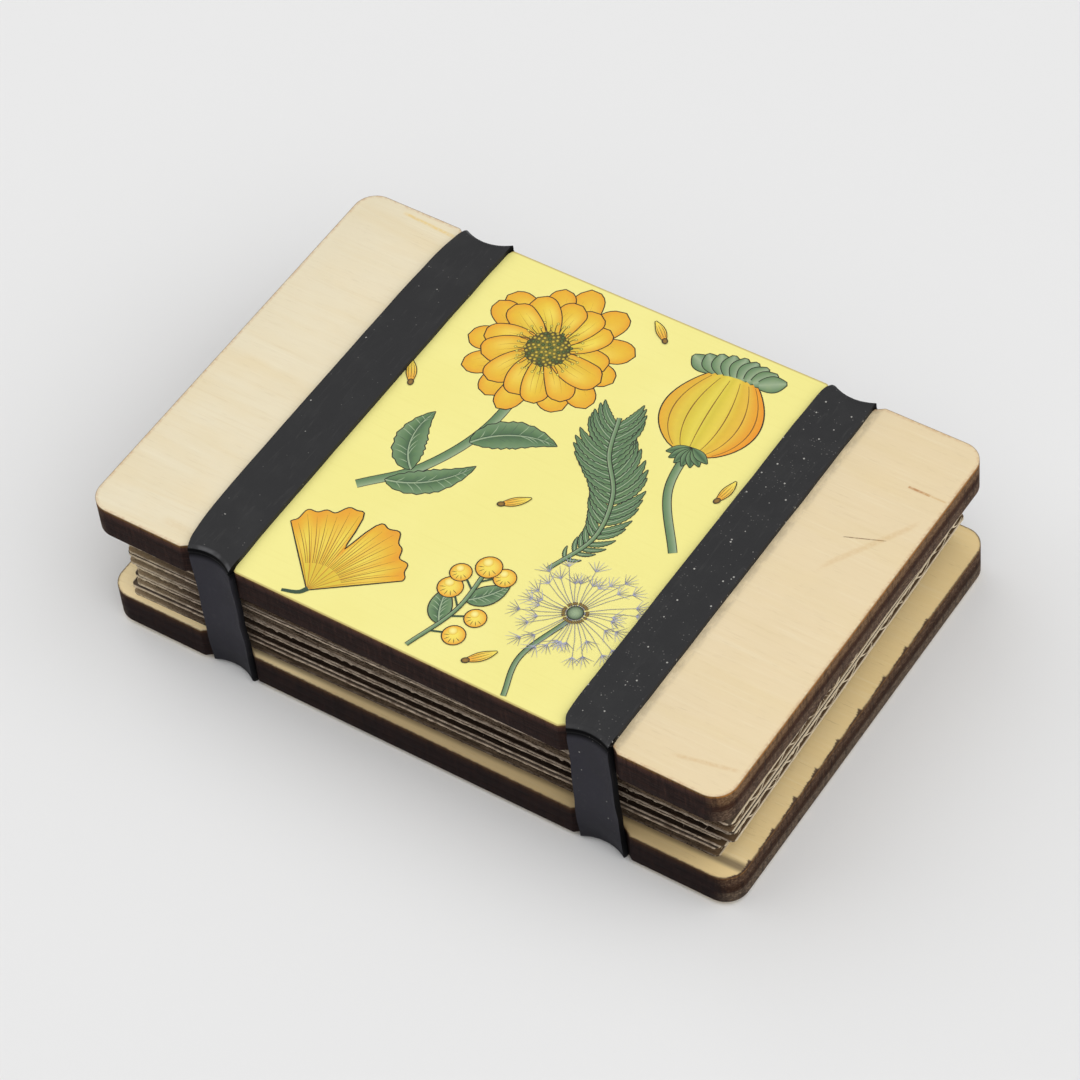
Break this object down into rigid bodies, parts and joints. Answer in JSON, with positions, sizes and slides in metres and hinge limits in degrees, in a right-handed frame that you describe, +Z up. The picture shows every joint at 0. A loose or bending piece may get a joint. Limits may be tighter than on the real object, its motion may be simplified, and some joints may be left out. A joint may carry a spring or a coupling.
{
  "type": "flower press",
  "caption": "Pocket flower press: two small plywood boards squeeze corrugated cardboards and blotting papers, held by two flat rubber bands.",
  "frame": {"origin": "middle of the plane that the press stands on, which is the underside of the two bands", "axes": "+X along the boards' length towards the right band, +Y across them towards the back, +Z up through the stack towards the printed board"},
  "size_m": [0.1224, 0.0854, 0.0304],
  "materials": {
    "plywood_base": "bare birch plywood, dark laser-cut edges",
    "plywood_top": "bare birch plywood, dark laser-cut edges",
    "print": null,
    "rubber_band": "matt, dusty",
    "corrugated": "grey-brown corrugated board with rough cut edges",
    "blotting_paper": "soft, matt"
  },
  "bodies": {
    "base": {"bottom_board": "plywood_base"},
    "lid": {"top_board": "plywood_top", "printed_panel": "print"},
    "band_left": {"band_left": "rubber_band"},
    "band_right": {"band_right": "rubber_band"},
    "cardboard_1": {"cardboard_1": "corrugated"},
    "blotter_1": {"blotter_1": "blotting_paper"},
    "blotter_2": {"blotter_2": "blotting_paper"},
    "cardboard_2": {"cardboard_2": "corrugated"},
    "blotter_3": {"blotter_3": "blotting_paper"},
    "blotter_4": {"blotter_4": "blotting_paper"},
    "cardboard_3": {"cardboard_3": "corrugated"},
    "blotter_5": {"blotter_5": "blotting_paper"},
    "blotter_6": {"blotter_6": "blotting_paper"},
    "cardboard_4": {"cardboard_4": "corrugated"},
    "blotter_7": {"blotter_7": "blotting_paper"},
    "blotter_8": {"blotter_8": "blotting_paper"},
    "cardboard_5": {"cardboard_5": "corrugated"},
    "blotter_9": {"blotter_9": "blotting_paper"},
    "blotter_10": {"blotter_10": "blotting_paper"},
    "cardboard_6": {"cardboard_6": "corrugated"}
  },
  "joints": [
    {"name": "lid_lift", "type": "slide", "parent": "base", "child": "lid", "axis": [0, 0, 1], "range_m": [0, 0.06]},
    {"name": "band_left_pull_off", "type": "slide", "parent": "base", "child": "band_left", "axis": [-1, 0, 0], "range_m": [0, 0.036], "deforming": ["band_left"]},
    {"name": "band_right_pull_off", "type": "slide", "parent": "base", "child": "band_right", "axis": [1, 0, 0], "range_m": [0, 0.036], "deforming": ["band_right"]},
    {"name": "cardboard_1_lift", "type": "slide", "parent": "base", "child": "cardboard_1", "axis": [0, 0, 1], "range_m": [0, 0.0015]},
    {"name": "blotter_1_lift", "type": "slide", "parent": "base", "child": "blotter_1", "axis": [0, 0, 1], "range_m": [0, 0.003]},
    {"name": "blotter_2_lift", "type": "slide", "parent": "base", "child": "blotter_2", "axis": [0, 0, 1], "range_m": [0, 0.0114]},
    {"name": "cardboard_2_lift", "type": "slide", "parent": "base", "child": "cardboard_2", "axis": [0, 0, 1], "range_m": [0, 0.0129]},
    {"name": "blotter_3_lift", "type": "slide", "parent": "base", "child": "blotter_3", "axis": [0, 0, 1], "range_m": [0, 0.0144]},
    {"name": "blotter_4_lift", "type": "slide", "parent": "base", "child": "blotter_4", "axis": [0, 0, 1], "range_m": [0, 0.0228]},
    {"name": "cardboard_3_lift", "type": "slide", "parent": "base", "child": "cardboard_3", "axis": [0, 0, 1], "range_m": [0, 0.0243]},
    {"name": "blotter_5_lift", "type": "slide", "parent": "base", "child": "blotter_5", "axis": [0, 0, 1], "range_m": [0, 0.0258]},
    {"name": "blotter_6_lift", "type": "slide", "parent": "base", "child": "blotter_6", "axis": [0, 0, 1], "range_m": [0, 0.0342]},
    {"name": "cardboard_4_lift", "type": "slide", "parent": "base", "child": "cardboard_4", "axis": [0, 0, 1], "range_m": [0, 0.0357]},
    {"name": "blotter_7_lift", "type": "slide", "parent": "base", "child": "blotter_7", "axis": [0, 0, 1], "range_m": [0, 0.0372]},
    {"name": "blotter_8_lift", "type": "slide", "parent": "base", "child": "blotter_8", "axis": [0, 0, 1], "range_m": [0, 0.0456]},
    {"name": "cardboard_5_lift", "type": "slide", "parent": "base", "child": "cardboard_5", "axis": [0, 0, 1], "range_m": [0, 0.0471]},
    {"name": "blotter_9_lift", "type": "slide", "parent": "base", "child": "blotter_9", "axis": [0, 0, 1], "range_m": [0, 0.0486]},
    {"name": "blotter_10_lift", "type": "slide", "parent": "base", "child": "blotter_10", "axis": [0, 0, 1], "range_m": [0, 0.057]},
    {"name": "cardboard_6_lift", "type": "slide", "parent": "base", "child": "cardboard_6", "axis": [0, 0, 1], "range_m": [0, 0.0585]}
  ],
  "couplings": [
    {"joint": "band_left_pull_off", "follows": "lid_lift", "ratio": 0.6},
    {"joint": "band_right_pull_off", "follows": "lid_lift", "ratio": 0.6},
    {"joint": "cardboard_1_lift", "follows": "lid_lift", "ratio": 0.025},
    {"joint": "blotter_1_lift", "follows": "lid_lift", "ratio": 0.05},
    {"joint": "blotter_2_lift", "follows": "lid_lift", "ratio": 0.19},
    {"joint": "cardboard_2_lift", "follows": "lid_lift", "ratio": 0.215},
    {"joint": "blotter_3_lift", "follows": "lid_lift", "ratio": 0.24},
    {"joint": "blotter_4_lift", "follows": "lid_lift", "ratio": 0.38},
    {"joint": "cardboard_3_lift", "follows": "lid_lift", "ratio": 0.405},
    {"joint": "blotter_5_lift", "follows": "lid_lift", "ratio": 0.43},
    {"joint": "blotter_6_lift", "follows": "lid_lift", "ratio": 0.57},
    {"joint": "cardboard_4_lift", "follows": "lid_lift", "ratio": 0.595},
    {"joint": "blotter_7_lift", "follows": "lid_lift", "ratio": 0.62},
    {"joint": "blotter_8_lift", "follows": "lid_lift", "ratio": 0.76},
    {"joint": "cardboard_5_lift", "follows": "lid_lift", "ratio": 0.785},
    {"joint": "blotter_9_lift", "follows": "lid_lift", "ratio": 0.81},
    {"joint": "blotter_10_lift", "follows": "lid_lift", "ratio": 0.95},
    {"joint": "cardboard_6_lift", "follows": "lid_lift", "ratio": 0.975}
  ]
}
